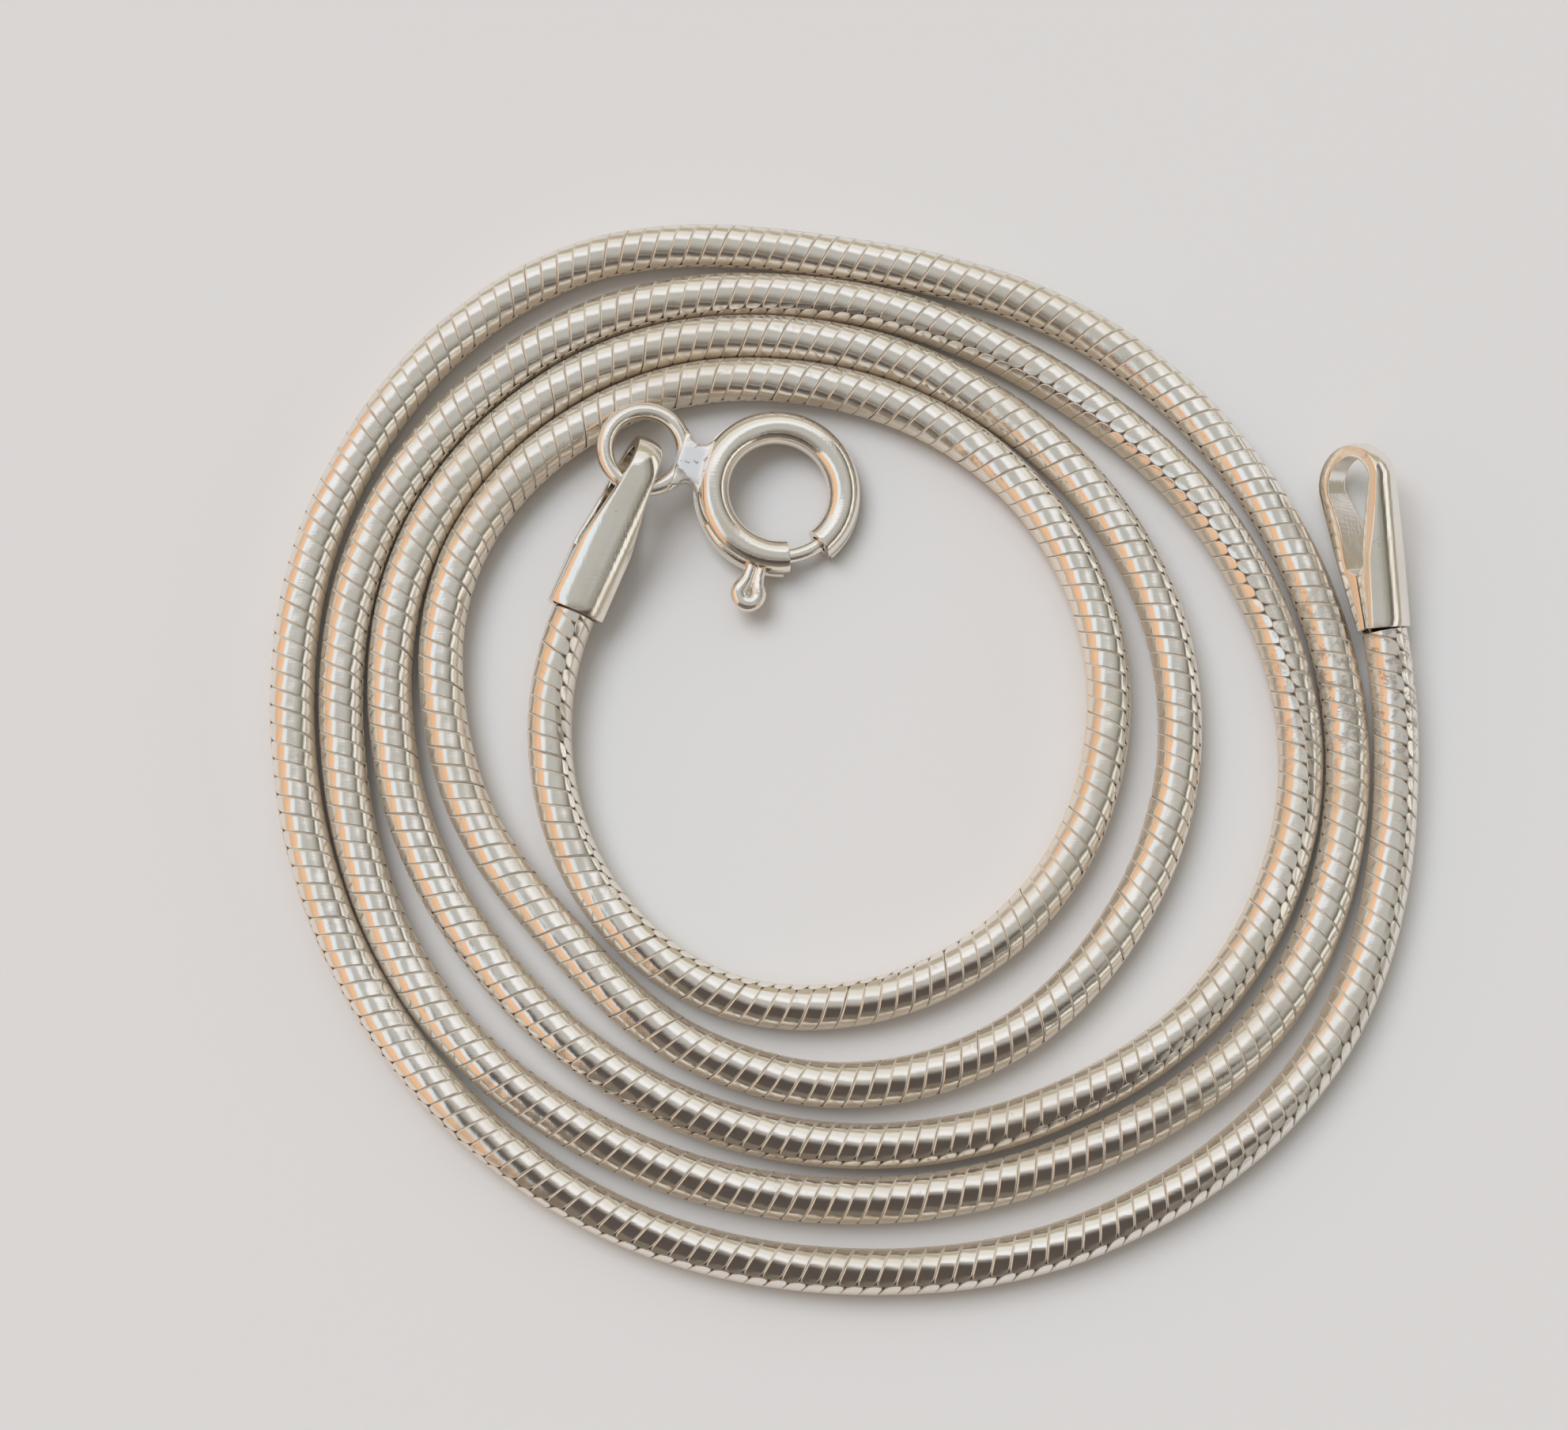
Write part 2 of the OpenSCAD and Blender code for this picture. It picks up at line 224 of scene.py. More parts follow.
# %% Points along the route
ROUTE = [
    14.35, 13.55, 12.60, 11.75, 10.95, 10.00,  9.60,  9.90, 10.85, 12.60, 14.80, 17.00,
    19.00, 19.15, 16.70, 14.05, 13.50, 13.35, 13.25, 13.30, 14.10, 15.40, 16.95, 19.05,
    21.05, 21.15, 19.20, 17.05, 16.00, 15.85, 16.60, 18.25, 19.35, 19.45, 19.60, 21.10,
    23.10, 23.15, 21.45, 20.10, 18.60, 18.10, 18.80, 20.60, 21.35, 21.75, 22.40, 23.15,
    25.90, 25.40, 23.55, 22.10, 21.20, 20.95, 21.95, 23.20, 23.40, 24.50, 25.60]
ROUTE_FROM, ROUTE_STEP = 300, 30
START, STOP = 330, 1994.5
NEAR_START, NEAR_STOP = START + 90, STOP - 60
INNER_Z, OUTER_Z = 1.40553, 1.4087
CAP_PITCH = 4


def route_radius(a):
    """Distance of the chain from the coil's middle, at an angle round the coil."""
    t = (a - ROUTE_FROM) / ROUTE_STEP
    i = min(max(int(t), 1), len(ROUTE) - 3)
    b, c, d, e = ROUTE[i - 1:i + 3]
    f = t - i
    slant, bend, twist = d - b, 2 * b - 5 * c + 4 * d - e, 3 * c - b - 3 * d + e
    return 0.5 * (2 * c + slant * f + bend * f ** 2 + twist * f ** 3)


def lift(end, end_z, a):
    """How far the chain is raised off the floor near one of its ends."""
    reach = 2 * (end_z - CHAIN_R) / tan(radians(CAP_PITCH))
    gone = radians(abs(a - end)) * (route_radius(a) + route_radius(end)) / 2
    return (end_z - CHAIN_R) * max(0, 1 - gone / reach) ** 2


def route_point(a):
    r = route_radius(a)
    rise = 0
    if a < NEAR_START:
        rise = lift(START, INNER_Z, a)
    elif a > NEAR_STOP:
        rise = lift(STOP, OUTER_Z, a)
    return COIL + Vector((-r * cos(radians(a)), -r * sin(radians(a)), CHAIN_R + rise))


STEP = 0.5
angles = [START + STEP * i for i in range(int((STOP - START) / STEP) + 1)]
points = [route_point(a) for a in angles]
chain_len = sum((q - p).length for p, q in zip(points, points[1:]))
print("the chain is", round(chain_len, 1), "mm long,", len(points), "points")

# %% [markdown]
# ## Which way the seams face
# Front and back plates meet in two seams, on opposite sides of the chain. A chain that has been
# dropped in a coil is twisted, so its seams wander: here one shows on top, there both are hidden
# against the floor. The list gives the angle of one seam from the top of the chain, positive towards
# the outside of the coil, at some angles round the coil. Between them the twist eases in and out.

# %% Twist of the chain
SEAM = [
    (330, -25), (345, -30), (360, -50), (420, -46), (455, -52), (480, -74), (520, -112), (545, -130),
    (595, -136), (620, -112), (645, -92), (690, -90), (720, -80), (770, -92), (850, -97), (885, -110),
    (915, -135), (940, -135), (965, -115), (990, -96), (1080, -98), (1110, -120), (1155, -130),
    (1180, -138), (1210, -148), (1230, -150), (1250, -162), (1275, -190), (1290, -210), (1320, -215),
    (1345, -228), (1375, -255), (1440, -262), (1530, -272), (1560, -266), (1620, -262), (1700, -262),
    (1740, -270), (1790, -288), (1840, -302), (1860, -312), (1880, -320), (1910, -320), (1950, -328),
    (1965, -335), (1995, -345)]


def seam_angle(a):
    for (a0, s0), (a1, s1) in zip(SEAM, SEAM[1:]):
        if a <= a1:
            f = (a - a0) / (a1 - a0)
            return s0 + (s1 - s0) * f * f * (3 - 2 * f)
    return SEAM[-1][1]


print("the chain twists by", SEAM[0][1] - SEAM[-1][1], "degrees from end to end")

# %% [markdown]
# ## A track to bend the chain along
# The plates are laid out along a straight line, and a Curve modifier then bends that line along the
# route, so the route becomes a curve object. Its tilt turns the seams, and a tilt of 90 degrees puts
# one on top. The plates could be placed one by one, but a bent row follows the curve without gaps or
# kinks.

# %% The track
SEAM_ON_TOP = 90


def make_track(name, places, tilts=None, twist="Z_UP"):
    curve = bpy.data.curves.new(name, "CURVE")
    curve.dimensions = "3D"
    curve.twist_mode = twist
    spline = curve.splines.new("POLY")
    spline.points.add(len(places) - 1)
    for point, co, tilt in zip(spline.points, places, tilts or [0] * len(places)):
        point.co = (*co, 1)
        point.tilt = tilt
    track = bpy.data.objects.new(name, curve)
    bpy.context.collection.objects.link(track)
    return track


track = make_track("track", points, [radians(seam_angle(a) + SEAM_ON_TOP) for a in angles])
print("the track has", len(track.data.splines[0].points), "points")

# %% [markdown]
# ## One plate
# A plate is cut from thin flat strip and then rolled round the chain. It starts as a flat plane that
# stands upright, so that the bend can turn it about the chain's own line. Its ends are pushed along
# the chain in opposite directions, because the borders between plates run at a slant. Its corners are
# rounded to tongues, and an inset draws the line where its bevelled edge will begin.

# %% Cut the flat plate
LINK_SPACING = 0.765
LINKS = round(chain_len / LINK_SPACING)
PITCH = chain_len / LINKS
SLIT, OVERLAP = 0.006, 0.11
PITCHES_A_TURN = 3
SLANT = PITCHES_A_TURN * PITCH / (2 * pi * CHAIN_R)
PLATE_LEN = pi * CHAIN_R + OVERLAP
CORNER_R, EDGE_W = 0.27, 0.06

bpy.ops.mesh.primitive_plane_add(size=1, rotation=(pi / 2, 0, 0), location=(0, 0, 0))
plate = bpy.context.object
plate.scale = (PITCH - SLIT, PLATE_LEN, 1)
apply_transform(plate)
for side in (-1, 1):
    select(plate, "VERT", lambda co, v: co.z * side > 0)
    bpy.ops.transform.translate(value=(side * SLANT * PLATE_LEN / 2, 0, 0))
select(plate, "VERT", everything)
bpy.ops.mesh.bevel(affect="VERTICES", offset=CORNER_R, segments=3)
select(plate, "FACE", everything)
bpy.ops.mesh.inset(thickness=EDGE_W, use_even_offset=True)
only(plate)
print("plate", round(PITCH - SLIT, 3), "x", round(PLATE_LEN, 2), "mm,", LINKS, "links")

# %% [markdown]
# The outer rim is pushed back by the plate's thickness, which makes the band of the inset a bevelled
# edge, and one face closes the back. Only a face that is cut into strips can follow a bend, so the
# plate is cut along several planes before the Simple Deform modifier rolls it to the chain's radius.

# %% Bevel its edge, close its back and roll it
PLATE_T = 0.042
STRIPS = 9


def score(obj, test, spot, normal):
    """Cuts the faces that pass the test along a plane, and keeps both sides."""
    select(obj, "FACE", test)
    bpy.ops.mesh.bisect(plane_co=spot, plane_no=normal, threshold=0.0001)


select(plate, "EDGE", rim)
bpy.ops.transform.translate(value=(0, PLATE_T, 0))
select(plate, "EDGE", rim)
bpy.ops.mesh.edge_face_add()
for i in range(1, STRIPS):
    score(plate, everything, (0, 0, PLATE_LEN * (i / STRIPS - 0.5)), (0, 0, 1))
modify(plate, "SIMPLE_DEFORM", deform_method="BEND", deform_axis="X", angle=PLATE_LEN / CHAIN_R)
print("one plate has", len(plate.data.polygons), "faces")

# %% [markdown]
# The rolled plate still has its bend's middle beside it. It is moved until the chain's own line runs
# along X, and turned until the plate lies on top. The finish has to know where tarnish collects, so a
# number is stored for every vertex: "groove" is 1 on the plate's lower edge and back, and "tip" is 1
# on its two tongues, because nothing rubs the dirt out of the seams.

# %% Lay the plate on top of the chain's line
TONGUE_BELOW = 14

plate.location = (0, -CHAIN_R, 0)
apply_transform(plate)
plate.rotation_euler = (-pi / 2, 0, 0)
apply_transform(plate)


def store(obj, name, test):
    """Stores 1 for the vertices that pass the test and 0 for the others, for a finish to read."""
    numbers = obj.data.attributes.new(name, "FLOAT", "POINT")
    numbers.data.foreach_set("value", [float(test(v.co)) for v in obj.data.vertices])


store(plate, "groove", lambda co: hypot(co.y, co.z) < CHAIN_R - PLATE_T / 2)
store(plate, "tip", lambda co: co.z < CHAIN_R * sin(radians(TONGUE_BELOW)))
print("plate lies from", [round(min(v.co[k] for v in plate.data.vertices), 2) for k in range(3)])

# %% [markdown]
# ## A few links that differ a little
# No two plates of a worn chain lie quite alike, and the light shows it. A link is a front and a back
# plate, the same plate turned half a turn. Six links are laid in a row, each rocked and turned by a
# degree or so, and that row is what repeats.

# %% Model the row of links
ROW = 6
ROCK, TURN = 1.1, 0.8
random.seed(7)

row = []
for i in range(ROW):
    for side in (0, 1):
        spot = Matrix.Translation((PITCH * i, 0, 0)) @ Matrix.Rotation(pi * side, 4, "X")
        rocked = Matrix.Rotation(radians(random.uniform(-ROCK, ROCK)), 4, "Y")
        turned = Matrix.Rotation(radians(random.uniform(-TURN, TURN)), 4, "Z")
        row.append(copy_of(plate, spot @ (rocked @ turned)))
throw_away(plate)
links = join(*row)
links.name = "chain_links"
print("a row of", ROW, "links has", len(links.data.polygons), "faces")

# %% [markdown]
# ## The whole chain, straight and then bent
# The Array modifier repeats the row, with a few links more than the chain needs. The two ends are then
# cut square where they meet the caps, because slanted plates would stick out past them. Last, the
# Curve modifier bends the straight chain along the track.

# %% Repeat, trim and bend the links
MOUTH_GAP = 0.06
SPARE_LINKS, LEAD_LINKS = 6, 2.5
CRISP_PLATES = 26


def trim(obj, x, side):
    """Cuts obj off square at x, on the side that the sign gives, and closes the cut."""
    select(obj, "FACE", everything)
    bpy.ops.mesh.bisect(plane_co=(x, 0, 0), plane_no=(side, 0, 0), use_fill=True, clear_outer=True,
                        threshold=0.00001)
    only(obj)


modify(links, "ARRAY", count=ceil((LINKS + SPARE_LINKS) / ROW), use_relative_offset=False,
       use_constant_offset=True, constant_offset_displace=(PITCH * ROW, 0, 0))
links.location = (-LEAD_LINKS * PITCH, 0, 0)
apply_transform(links)
trim(links, MOUTH_GAP, -1)
trim(links, chain_len - MOUTH_GAP, 1)
modify(links, "CURVE", object=track, deform_axis="POS_X")
only(links)
bpy.ops.object.shade_smooth_by_angle(angle=radians(CRISP_PLATES))
put_in_place(links, Matrix())
print("links:", len(links.data.polygons), "faces")

# %% [markdown]
# ## What lies under the plates
# Between the tongues one looks down on the dark inside of the chain. A slim tube along the same
# track stands for it, so that no light falls through the seams. It is a curve with a round section,
# turned into a mesh, and it needs far fewer points than the plates do.

# %% The inside of the chain
CORE_GAP, CORE_EVERY = 0.012, 4


def wire_mesh(track, radius):
    """Gives a track a round section and turns it into a mesh."""
    track.data.bevel_depth = radius
    track.data.bevel_resolution = 4
    track.data.use_fill_caps = True
    only(track)
    bpy.ops.object.convert(target="MESH")
    wire = bpy.context.object
    smooth(wire)
    return wire


core = wire_mesh(make_track("chain_core", points[::CORE_EVERY]), CHAIN_R - PLATE_T - CORE_GAP)
put_in_place(core, Matrix())
throw_away(track)
print("core:", len(core.data.polygons), "faces")

# %% [markdown]
# ## The end caps
# A cap is one strip of silver, wide at both ends and narrow in the middle, folded over so that it
# closes round the end of the chain and leaves an open loop at the fold. It is modelled the same way:
# a flat grid is narrowed row by row, given its thickness and soft edges, and folded along the side
# view of the cap by a Curve modifier. The side view is a straight leg, a round fold and a leg back.

# %% The side view of a cap
CAP_LOOP_R, CAP_LOOP_S, CAP_MOUTH_T = 1.8, 6.5, 1.86
CAP_SLOPE = 7.4958

slope = radians(CAP_SLOPE)
touch_x = CAP_LOOP_S - CAP_LOOP_R * sin(slope)
touch_z = CAP_LOOP_R * cos(slope)
leg_len = hypot(touch_x, touch_z - CAP_MOUTH_T / 2)
fold_len = CAP_LOOP_R * (pi + 2 * slope)
strip_len = 2 * leg_len + fold_len


def cap_side(s):
    """Point of the side view at a distance s along the outside, from the mouth of the upper leg."""
    if s <= leg_len:
        return Vector((s * cos(slope), 0, CAP_MOUTH_T / 2 + s * sin(slope)))
    if s >= leg_len + fold_len:
        p = cap_side(strip_len - s)
        return Vector((p.x, 0, -p.z))
    turn = pi / 2 + slope - (s - leg_len) / CAP_LOOP_R
    return Vector((CAP_LOOP_S + CAP_LOOP_R * cos(turn), 0, CAP_LOOP_R * sin(turn)))


print("the strip is", round(strip_len, 2), "mm long")

# %% [markdown]
# The strip tapers in a soft wave from its wide ends to its narrow middle. The taper is a short list
# of shares: how far along the cap, and how much of the extra width is left there. Up to the crotch
# the two legs touch, so each leg is as thick as half the sleeve, and past it the strip thins to the
# loop.

# %% The strip's width and thickness
CAP_LEN, CAP_MOUTH_W, CAP_FOLD_W = 8.3, 2.46, 1.1
TAPER = [(0, 1), (0.37, 0.88), (0.5, 0.59), (0.65, 0.3), (0.8, 0.1), (1, 0)]
SLEEVE_LEN, CROTCH_H, STRAP_T = 2.45, 0.45, 0.6
SEAM_GAP = 0.02


def strip_width(s):
    share = max(0, min(1, cap_side(s).x / CAP_LEN))
    for (x0, w0), (x1, w1) in zip(TAPER, TAPER[1:]):
        if share <= x1:
            f = (share - x0) / (x1 - x0)
            return CAP_FOLD_W + (CAP_MOUTH_W - CAP_FOLD_W) * (w0 + (w1 - w0) * f)
    return CAP_FOLD_W


def strip_depth(s):
    """Thickness of the strip at a distance s from either mouth."""
    s = min(s, strip_len - s)
    p = cap_side(min(s, leg_len))
    if s >= leg_len:
        return STRAP_T
    if p.x < SLEEVE_LEN:
        return p.z - SEAM_GAP
    f = (p.x - SLEEVE_LEN) / (touch_x - SLEEVE_LEN)
    return (p.z - CROTCH_H) * (1 - f) + STRAP_T * f


print("the strip is", round(strip_depth(0), 2), "mm thick at its ends and", STRAP_T, "in the middle")

# %% [markdown]
# A grid of stations along the strip and rows across it is the start. Each station is drawn in to the
# strip's width there. The face is then extruded deeper than the strip will be, and the lower vertices
# of each station are raised to its thickness. The outer face is crowned: each row is lowered by as
# much as a round of the crown's radius falls away from the middle.

# %% Cut, thicken and crown the strip
STATIONS, ROWS = 48, 12
DEEP, CROWN_R = 1, 1.75


def at(value, goal):
    """Within a hundredth of a millimetre."""
    return abs(value - goal) < 0.01


bpy.ops.mesh.primitive_grid_add(x_subdivisions=STATIONS, y_subdivisions=ROWS, size=1)
strip = bpy.context.object
strip.name = "end_cap"
strip.location = (strip_len / 2, 0, 0)
strip.scale = (strip_len, 1, 1)
apply_transform(strip)
stations = [strip_len * i / STATIONS for i in range(STATIONS + 1)]
for s in stations:
    select(strip, "VERT", lambda co, v: at(co.x, s))
    bpy.ops.transform.resize(value=(1, strip_width(s), 1))
select(strip, "FACE", everything)
bpy.ops.mesh.extrude_region_move(TRANSFORM_OT_translate={"value": (0, 0, -DEEP)})
for s in stations:
    select(strip, "VERT", lambda co, v: at(co.x, s) and at(co.z, -DEEP))
    bpy.ops.transform.translate(value=(0, 0, DEEP - strip_depth(s)))
    for j in range(ROWS // 2):
        y = strip_width(s) * (0.5 - j / ROWS)
        select(strip, "VERT", lambda co, v: at(co.x, s) and at(abs(co.y), y) and at(co.z, 0))
        bpy.ops.transform.translate(value=(0, 0, sqrt(CROWN_R ** 2 - y ** 2) - CROWN_R))
only(strip)
print("strip:", len(strip.data.polygons), "faces")

# %% [markdown]
# Real strip never has knife edges, so its rims get a narrow bevel while it is still flat. Then it is
# folded along the cap's side view. The mouth gets an oval hollow for the end of the chain, cut with a
# Boolean.

# %% Soften, fold and hollow the cap
CAP_EDGE, FOLD_POINTS = 0.055, 400
HOLLOW_H, HOLLOW_W, PLUG_LEN = 0.66, 1.06, 2.4

soften(strip, CAP_EDGE, sharper_than=40)
fold = make_track("fold", [cap_side(strip_len * i / FOLD_POINTS) for i in range(FOLD_POINTS + 1)],
                  twist="MINIMUM")
modify(strip, "CURVE", object=fold, deform_axis="POS_X")
throw_away(fold)
bpy.ops.mesh.primitive_cylinder_add(vertices=48, radius=1, depth=PLUG_LEN, rotation=(0, pi / 2, 0))
plug = bpy.context.object
plug.scale = (HOLLOW_H, HOLLOW_W, 1)
apply_transform(plug)
cut(strip, plug)
smooth(strip, 30)
print("folded cap:", round(max(v.co.x for v in strip.data.vertices), 2), "mm long")

# %% [markdown]
# One cap goes on each end of the chain. It starts at the chain's end, points the way that the chain
# does, lies with its fold a little lower than its mouth, and is rolled a little to one side, as a
# loose cap comes to rest.

# %% Put a cap on each end
INNER_MOUTH, INNER_TURN, INNER_ROLL = (-11.7205, 5.56253, INNER_Z), 67.3108, 20
OUTER_MOUTH, OUTER_TURN, OUTER_ROLL = (23.1273, 4.76501, OUTER_Z), 98.7625, 35


def cap_place(mouth, turn, roll):
    return (Matrix.Translation(mouth) @ Matrix.Rotation(radians(turn), 4, "Z")
            @ Matrix.Rotation(radians(-CAP_PITCH), 4, "Y") @ Matrix.Rotation(radians(roll), 4, "X"))


cap_inner = copy_of(strip, Matrix())
cap_inner.name = "cap_inner"
put_in_place(cap_inner, cap_place(INNER_MOUTH, INNER_TURN, INNER_ROLL))
cap_outer = strip
cap_outer.name = "cap_outer"
put_in_place(cap_outer, cap_place(OUTER_MOUTH, OUTER_TURN, OUTER_ROLL))
print("caps:", [len(cap.data.polygons) for cap in (cap_inner, cap_outer)], "faces")

# %% [markdown]
# ## The spring ring
# The ring is a thin tube bent round, with a gap where the bolt closes it and a slot for the thumb
# lever to run in. A torus is the start. Planes cut it along the ends and sides of the slot, and the
# faces in the gap and the slot are deleted. Angles run round the ring from the side where the eye is.

# %% Open the tube
RING_R, TUBE_R = 2.88, 0.72
GAP_FROM, GAP_TO = 114, 144
SLOT_FROM, SLOT_TO, SLOT_H = 41.64, 100.36, 0.32
BESIDE = 6


def torus(radius, thick_r, around, across, x=0):
    """A ring of round section that lies flat, with its middle at x."""
    bpy.ops.mesh.primitive_torus_add(major_radius=radius, minor_radius=thick_r, major_segments=around,
                                     minor_segments=across, location=(x, 0, 0))
    apply_transform(bpy.context.object)
    return bpy.context.object


def ring_angle(co):
    return degrees(atan2(co.y, co.x)) % 360


def outer_half(co, face=None):
    return hypot(co.x, co.y) > RING_R


def in_opening(co, face):
    if SLOT_FROM < ring_angle(co) < SLOT_TO:
        return abs(co.z) < SLOT_H and outer_half(co)
    return GAP_FROM < ring_angle(co) < GAP_TO


ring = torus(RING_R, TUBE_R, around=120, across=32)
ring.name = "ring"
for angle in (SLOT_FROM, SLOT_TO):
    along = Vector((-sin(radians(angle)), cos(radians(angle)), 0))
    score(ring, lambda co, f: abs(ring_angle(co) - angle) < BESIDE, (0, 0, 0), along)
for level in (-SLOT_H, SLOT_H):
    score(ring, outer_half, (0, 0, level), (0, 0, 1))
select(ring, "FACE", in_opening)
bpy.ops.mesh.delete(type="FACE")
only(ring)
print("open tube:", len(ring.data.polygons), "faces,", round(2 * (RING_R + TUBE_R), 2), "mm across")

# %% [markdown]
# What is left is a skin without thickness. Solidify gives it the tube's wall, inwards, so that one
# looks into a real bore at the gap, and a small bevel takes the sharpness off the cut edges.

# %% Give it a wall, and soften the cut edges
BORE_R, RING_EDGE = 0.40, 0.05

modify(ring, "SOLIDIFY", thickness=TUBE_R - BORE_R, offset=-1)
soften(ring, RING_EDGE)
smooth(ring, 40)
print("tube with its wall:", len(ring.data.polygons), "faces")

# %% [markdown]
# Pressing the ring from sheet left a thin lip round its underside. Its profile is a small rectangle,
# which the spin operator carries round the ring from one side of the gap to the other. With no
# window, spin turns the other way, so its angle is negative.

# %% Spin the lip
LIP_IN_R, LIP_OUT_R, LIP_TOP, LIP_LOW = 3.3, 3.70, -0.36, -0.52
LIP_EDGE, LIP_BACK = 0.04, 3


def carry_round(obj, start, stop, steps):
    """Spins a flat profile round the ring's middle from one angle to the other."""
    obj.rotation_euler = (0, 0, radians(start))
    apply_transform(obj)
    select(obj, "FACE", everything)
    bpy.ops.mesh.spin(steps=steps, angle=-radians(stop - start), center=(0, 0, 0), axis=(0, 0, 1))
    face_outwards(obj)


lip_middle = ((LIP_OUT_R + LIP_IN_R) / 2, 0, (LIP_TOP + LIP_LOW) / 2)
bpy.ops.mesh.primitive_plane_add(size=1, location=lip_middle, rotation=(pi / 2, 0, 0))
lip = bpy.context.object
lip.scale = (LIP_OUT_R - LIP_IN_R, LIP_TOP - LIP_LOW, 1)
apply_transform(lip)
carry_round(lip, GAP_TO + LIP_BACK, GAP_FROM - LIP_BACK + 360, steps=110)
soften(lip, LIP_EDGE)
smooth(lip, 40)
print("lip:", len(lip.data.polygons), "faces")

# %% [markdown]
# The eye is a closed ring of wire beside the tube. It is a torus too, and the part of it that faces
# the hole is pushed outwards a little, which leaves the flat that the cap's loop has worn there.

# %% The eye
EYE_X, EYE_R, EYE_WIRE_R = 6.1, 1.72, 0.38
WORN_BAND, WORN = 0.36, 1.012

eye = torus(EYE_R, EYE_WIRE_R, around=72, across=20, x=EYE_X)
select(eye, "VERT", lambda co, v: hypot(co.x - EYE_X, co.y) < EYE_R - WORN_BAND)
bpy.ops.transform.resize(value=(WORN, WORN, 1), center_override=(EYE_X, 0, 0))
smooth(eye)
print("eye:", len(eye.data.polygons), "faces")

# %% [markdown]
# Solder joins the eye to the tube. It flowed over both, so it is modelled as one lump: short slices of
# the tube and of the eye and a web between them, with a waist, are voxel remeshed into one skin. The
# skin is smoothed, which fills the corners as molten solder does, and swollen by a hair so that it
# lies over the clean metal.

# %% Model the solder
WEB_X, WEB_SIZE = 3.92, (1.3, 2.4, 0.76)
WAIST_X, WAIST_Y, WAIST_R = 3.874, 1.343, 0.5
TUBE_FROM, EYE_UP_TO = 3.3, 4.62

bpy.ops.mesh.primitive_cube_add(size=1, location=(WEB_X, 0, 0))
web = bpy.context.object
web.scale = WEB_SIZE
apply_transform(web)
for y in (-WAIST_Y, WAIST_Y):
    bpy.ops.mesh.primitive_cylinder_add(vertices=48, radius=WAIST_R, depth=2, location=(WAIST_X, y, 0))
    cut(web, bpy.context.object)
tube_slice = torus(RING_R, TUBE_R, around=120, across=32)
eye_slice = torus(EYE_R, EYE_WIRE_R, around=72, across=20, x=EYE_X)
trim(tube_slice, TUBE_FROM, -1)
trim(eye_slice, EYE_UP_TO, 1)
solder = join(web, tube_slice, eye_slice)
solder.name = "solder"
modify(solder, "REMESH", mode="VOXEL", voxel_size=0.05)
modify(solder, "SMOOTH", factor=0.5, iterations=26)
modify(solder, "DISPLACE", strength=0.04, mid_level=0)
smooth(solder, 60)
print("solder:", len(solder.data.polygons), "faces")

# %% [markdown]
# ## The trigger
# Inside the tube runs the bolt, a bent rod that bridges the gap, and the thumb lever stands on it and
# sticks out through the slot. The bolt is a disc that is spun along a quarter of the ring, and its
# ends are rounded by a bevel.

# %% Spin the bolt
BOLT_R, BOLT_FROM, BOLT_TO, BOLT_EDGE = 0.33, 60, 150, 0.09

bpy.ops.mesh.primitive_circle_add(vertices=24, radius=BOLT_R, fill_type="NGON",
                                  location=(RING_R, 0, 0), rotation=(pi / 2, 0, 0))
bolt = bpy.context.object
apply_transform(bolt)
carry_round(bolt, BOLT_FROM, BOLT_TO, steps=30)
soften(bolt, BOLT_EDGE, segments=3)
smooth(bolt)
bolt_angles = [ring_angle(v.co) for v in bolt.data.vertices]
print("the bolt runs from", round(min(bolt_angles)), "to", round(max(bolt_angles)), "degrees")

# %% [markdown]
# The thumb lever is a hairpin of wire: up from the bolt, round a small loop and back down. Such a bend
# is drawn as a curve with a round section and then made a mesh. The list gives one leg, as distances
# from the ring's middle and how far the leg has spread there. The wire is hammered thicker round the
# loop, so that only a slit is left in its middle. The voxel remesh welds it to the bolt.

# %% Bend the thumb lever
LEVER_AT, LEVER_X, LOOP_R, WIRE_R = 90, 4.76, 0.43, 0.26
LEG_Y, LEG = 0.22, [(3.0, 0), (3.6, 0), (3.95, 0.01), (4.2, 0.04), (4.4, 0.10)]
THICK_FROM, THICK_OVER, THICKER = 3.8, 0.7, 0.42

half_pin = [(r, LEG_Y + spread) for r, spread in LEG]
half_pin += [(LEVER_X + LOOP_R * sin(radians(a)), LOOP_R * cos(radians(a))) for a in range(-20, 91, 10)]
hairpin = [Vector((r, y, 0)) for r, y in half_pin]
hairpin += [Vector((r, -y, 0)) for r, y in reversed(half_pin[:-1])]
to_slot = Matrix.Rotation(radians(LEVER_AT), 4, "Z")
lever = make_track("lever", [to_slot @ p for p in hairpin])
for point, p in zip(lever.data.splines[0].points, hairpin):
    point.radius = 1 + THICKER * min(1, max(0, (p.x - THICK_FROM) / THICK_OVER))
lever = wire_mesh(lever, WIRE_R)
trigger = join(bolt, lever)
trigger.name = "trigger"
modify(trigger, "REMESH", mode="VOXEL", voxel_size=0.045)
modify(trigger, "SMOOTH", factor=0.5, iterations=3)
smooth(trigger, 50)
print("trigger:", len(trigger.data.polygons), "faces")

# %% [markdown]
# The clasp hangs by its eye in the inner cap's loop and leans against it, so that it isn't quite
# level. All its pieces were modelled round the ring's middle, and one matrix puts them in place. The
# same matrix tells where the neck of solder ends up, which the finishes need.

# %% Put the clasp in place
CLASP_AT, CLASP_TURN, CLASP_TIP = (-2.9231111, 11.06803, 1.1424), 164, -8.43372
NECK_X = 3.93

